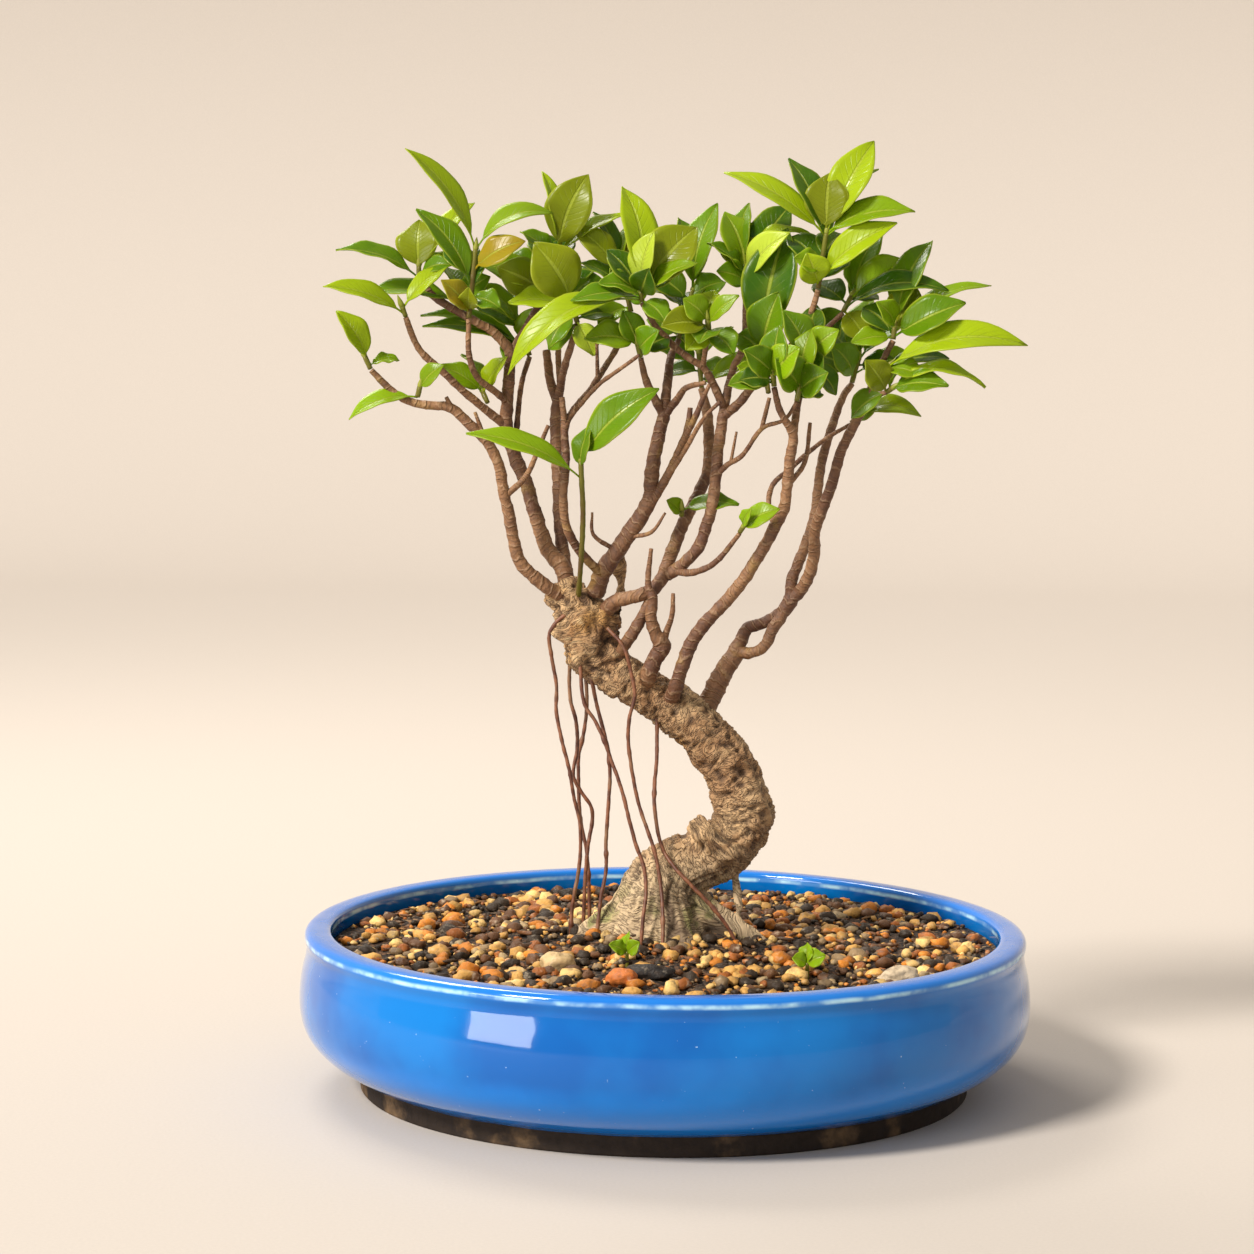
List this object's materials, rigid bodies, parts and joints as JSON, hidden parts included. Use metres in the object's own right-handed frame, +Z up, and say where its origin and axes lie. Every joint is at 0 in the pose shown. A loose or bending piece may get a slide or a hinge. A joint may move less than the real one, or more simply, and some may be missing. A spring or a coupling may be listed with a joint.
{
  "type": "bonsai tree in a pot",
  "caption": "Small-leaf fig bonsai with an S-curved trunk, a wide loose crown and hanging aerial roots, in a round shallow blue-glazed pot.",
  "frame": {"origin": "centre of the pot's foot, in the plane that the pot stands on", "axes": "+Z up along the pot's axis, -Y towards the tree's front, +X to its right seen from the front"},
  "size_m": [0.3, 0.3, 0.3873],
  "materials": {
    "glaze": "gloss",
    "soil": "matte",
    "bark": "matte",
    "root_bark": "matte",
    "leaf": "satin",
    "seedling": "satin",
    "screen_plastic": "matte",
    "clip_wire": "satin",
    "tan_stone": "matte",
    "orange_stone": "matte",
    "pale_stone": "matte",
    "bark_mulch": "matte"
  },
  "bodies": {
    "root": {"aerial_root_1": "root_bark", "aerial_root_2": "root_bark", "aerial_root_3": "root_bark", "aerial_root_4": "root_bark", "aerial_root_5": "root_bark", "aerial_root_6": "root_bark", "aerial_root_7": "root_bark", "bark_chip": "bark_mulch", "branch_centre": "bark", "branch_far_left": "bark", "branch_far_right": "bark", "branch_knobby": "bark", "branch_left": "bark", "branch_right": "bark", "branch_right_of_centre": "bark", "branch_tall_right": "bark", "branch_upright": "bark", "branch_yellow": "bark", "drainage_screen": "screen_plastic", "pot": "glaze", "screen_clip": "clip_wire", "seedling_left": "seedling", "seedling_right": "seedling", "shoot_centre": "leaf", "shoot_centre_back": "leaf", "shoot_centre_low": "leaf", "shoot_centre_rear": "leaf", "shoot_dark_right": "leaf", "shoot_far_left": "leaf", "shoot_front": "leaf", "shoot_front_low": "leaf", "shoot_left_fork": "leaf", "shoot_left_inner": "leaf", "shoot_left_low": "leaf", "shoot_left_low_dark": "leaf", "shoot_left_middle": "leaf", "shoot_left_outer": "leaf", "shoot_left_rear": "leaf", "shoot_left_top": "leaf", "shoot_low_centre": "leaf", "shoot_middle_top": "leaf", "shoot_olive": "leaf", "shoot_right_back": "leaf", "shoot_right_centre_low": "leaf", "shoot_right_centre_top": "leaf", "shoot_right_inner": "leaf", "shoot_right_inner_high": "leaf", "shoot_right_long": "leaf", "shoot_right_low": "leaf", "shoot_right_lowest": "leaf", "shoot_right_middle": "leaf", "shoot_right_stray": "leaf", "shoot_right_top": "leaf", "shoot_top_right": "leaf", "shoot_upper_left": "leaf", "soil": "soil", "stone_orange": "orange_stone", "stone_pale": "pale_stone", "stone_tan": "tan_stone", "trunk": "bark"}
  },
  "joints": []
}
